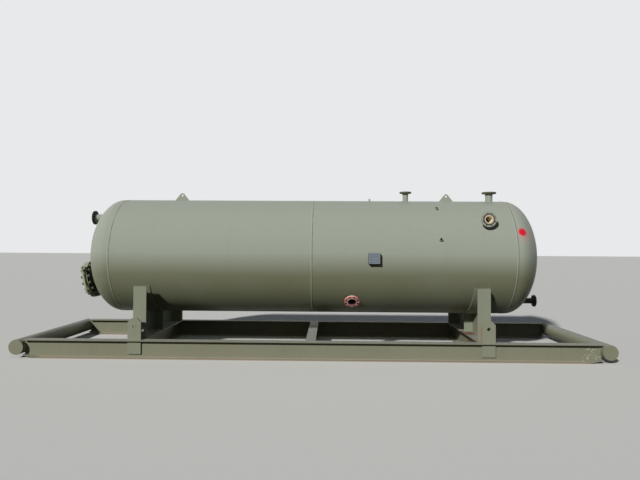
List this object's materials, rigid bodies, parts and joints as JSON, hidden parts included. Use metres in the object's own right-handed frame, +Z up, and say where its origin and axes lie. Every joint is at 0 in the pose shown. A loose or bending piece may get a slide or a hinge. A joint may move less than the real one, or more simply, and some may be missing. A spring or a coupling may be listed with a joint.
{
  "type": "horizontal pressure tank on a skid",
  "caption": "Horizontal welded steel pressure tank with dished heads, flanged nozzles and a bolted manway, on saddles and a lifting skid of rolled beams and end pipes.",
  "frame": {"origin": "on the ground under the middle of the skid", "axes": "+X along the tank toward its drain end, -Y toward the side with the nameplate, +Z up"},
  "size_m": [8.7728, 2.276, 2.5655],
  "materials": {
    "tank_paint": "satin",
    "saddle_paint": "satin",
    "skid_paint": "satin",
    "primer": "matte",
    "gasket": "matte",
    "bare_steel": "brushed"
  },
  "bodies": {
    "root": {"shell_course_left": "tank_paint", "shell_course_right": "tank_paint", "head_left": "tank_paint", "head_right": "tank_paint", "girth_welds": "tank_paint", "top_nozzle_small": "tank_paint", "top_nozzle_large": "tank_paint", "front_nozzle": "tank_paint", "low_nozzle": "primer", "head_nozzle": "tank_paint", "drain_nozzle": "tank_paint", "coupling_high": "tank_paint", "coupling_low": "tank_paint", "vent_coupling": "tank_paint", "manway_neck": "tank_paint", "manway_flange": "tank_paint", "manway_gasket": "gasket", "manway_cover": "tank_paint", "manway_handles": "bare_steel", "manway_hinge": "bare_steel", "vessel_lug_left": "tank_paint", "vessel_lug_right": "tank_paint", "nameplate_bracket": "tank_paint", "nameplate": "bare_steel", "saddle_left_web": "saddle_paint", "saddle_left_front_leg": "saddle_paint", "saddle_left_rear_leg": "saddle_paint", "saddle_left_rib": "saddle_paint", "saddle_left_wear_plate": "saddle_paint", "saddle_right_web": "saddle_paint", "saddle_right_front_leg": "saddle_paint", "saddle_right_rear_leg": "saddle_paint", "saddle_right_rib": "saddle_paint", "saddle_right_wear_plate": "saddle_paint", "skid_beam_front": "skid_paint", "skid_beam_rear": "skid_paint", "end_pipe_left": "skid_paint", "end_pipe_right": "skid_paint", "end_pipe_caps": "skid_paint", "crossbeam_left": "skid_paint", "crossbeam_middle": "skid_paint", "crossbeam_right": "skid_paint", "padeyes_left": "skid_paint", "padeyes_right": "skid_paint"}
  },
  "joints": []
}
